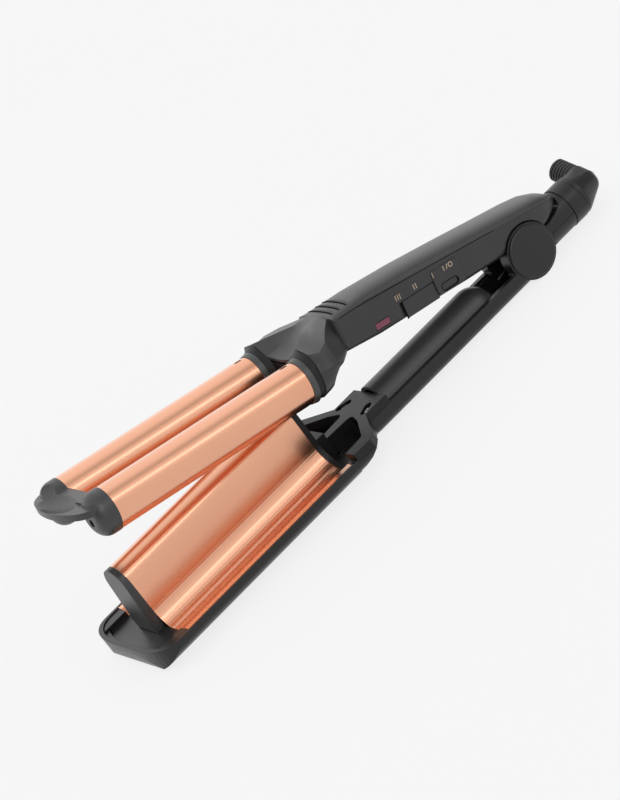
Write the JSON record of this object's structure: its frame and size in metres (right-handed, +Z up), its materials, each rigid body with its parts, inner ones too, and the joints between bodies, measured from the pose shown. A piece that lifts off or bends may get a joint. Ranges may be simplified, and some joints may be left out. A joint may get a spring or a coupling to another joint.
{
  "type": "hair waver",
  "caption": "Hinged hair waver: round heated barrels over a tall blade barrel with troughs, sprung handle, slider, power button and swivel cord relief.",
  "frame": {"origin": "centre of the whole object's footprint, on the plane it lies on", "axes": "+X towards the barrel tips along the lower arm, +Y to the side with the controls, +Z up"},
  "size_m": [0.3712, 0.0828, 0.0959],
  "materials": {
    "barrel_metal": "satin rose-gold coating",
    "shell_grey": "satin charcoal",
    "shell_dark": "satin dark charcoal",
    "trim_grey": "satin grey",
    "collar_grey": "satin grey",
    "inner_black": "matte black",
    "steel": "bright steel",
    "heat_block": "as drawn",
    "ceramic": "unglazed ceramic",
    "board_green": "solder-masked board",
    "lead_red": "sleeved wire",
    "lamp_red": "moulded lamp",
    "window_red": "tinted window",
    "mark_gold": "printed marks",
    "relief_rubber": "soft black"
  },
  "bodies": {
    "lower_arm": {"lower_plate": "barrel_metal", "blade_front_cap": "shell_grey", "plate_end": "inner_black", "lower_base": "shell_dark", "tip_insert": "shell_dark", "lower_bracket": "inner_black", "bracket_screws": "steel", "base_screws": "steel", "lower_heater": "ceramic", "lower_heater_frame": "heat_block", "thermostat": "ceramic", "lower_leads": "lead_red", "handle_shell": "shell_dark", "handle_cover": "shell_grey", "near_hub_cap": "trim_grey", "far_hub_cap": "trim_grey", "hinge_pin": "steel", "torsion_spring": "steel", "tail_collar": "shell_dark", "tail_cover": "shell_dark"},
    "upper_arm": {"upper_top_shell": "shell_grey", "upper_bottom_shell": "shell_dark", "barrel_mounts": "inner_black", "hinge_knuckle": "inner_black", "near_barrel": "barrel_metal", "far_barrel": "barrel_metal", "near_collar": "collar_grey", "far_collar": "collar_grey", "near_core": "heat_block", "far_core": "heat_block", "near_heater": "ceramic", "far_heater": "ceramic", "upper_tip": "shell_grey", "tip_screws": "steel", "control_board": "board_green", "slide_switch": "steel", "push_switch": "inner_black", "lamp": "lamp_red", "lamp_window": "window_red", "panel_marks": "mark_gold", "shell_screws": "steel", "thermal_fuse": "ceramic", "upper_leads": "lead_red"},
    "heat_slider": {"heat_slider": "shell_dark"},
    "power_button": {"power_button": "trim_grey"},
    "cord_swivel": {"swivel_head_near": "shell_dark", "swivel_head_far": "shell_dark", "swivel_stem": "trim_grey", "strain_relief": "relief_rubber"}
  },
  "joints": [
    {"name": "arm_hinge", "type": "hinge", "parent": "lower_arm", "child": "upper_arm", "pos_m": [-0.1204, 0, 0.0156], "axis": [0, 1, 0], "range_deg": [0, 7.4], "stiffness_Nm_per_rad": 1.6, "springref_deg": -25.78, "deforming": ["torsion_spring"]},
    {"name": "slider_slide", "type": "slide", "parent": "upper_arm", "child": "heat_slider", "axis": [0.9799, 0, 0.1994], "range_m": [-0.0018, 0.0018]},
    {"name": "button_press", "type": "slide", "parent": "upper_arm", "child": "power_button", "axis": [0, -1, 0], "range_m": [0, 0.0008], "stiffness_N_per_m": 900, "springref_m": -0.0008},
    {"name": "swivel_spin", "type": "hinge", "parent": "lower_arm", "child": "cord_swivel", "pos_m": [-0.1656, 0, 0.0138], "axis": [1, 0, 0], "continuous": true}
  ]
}
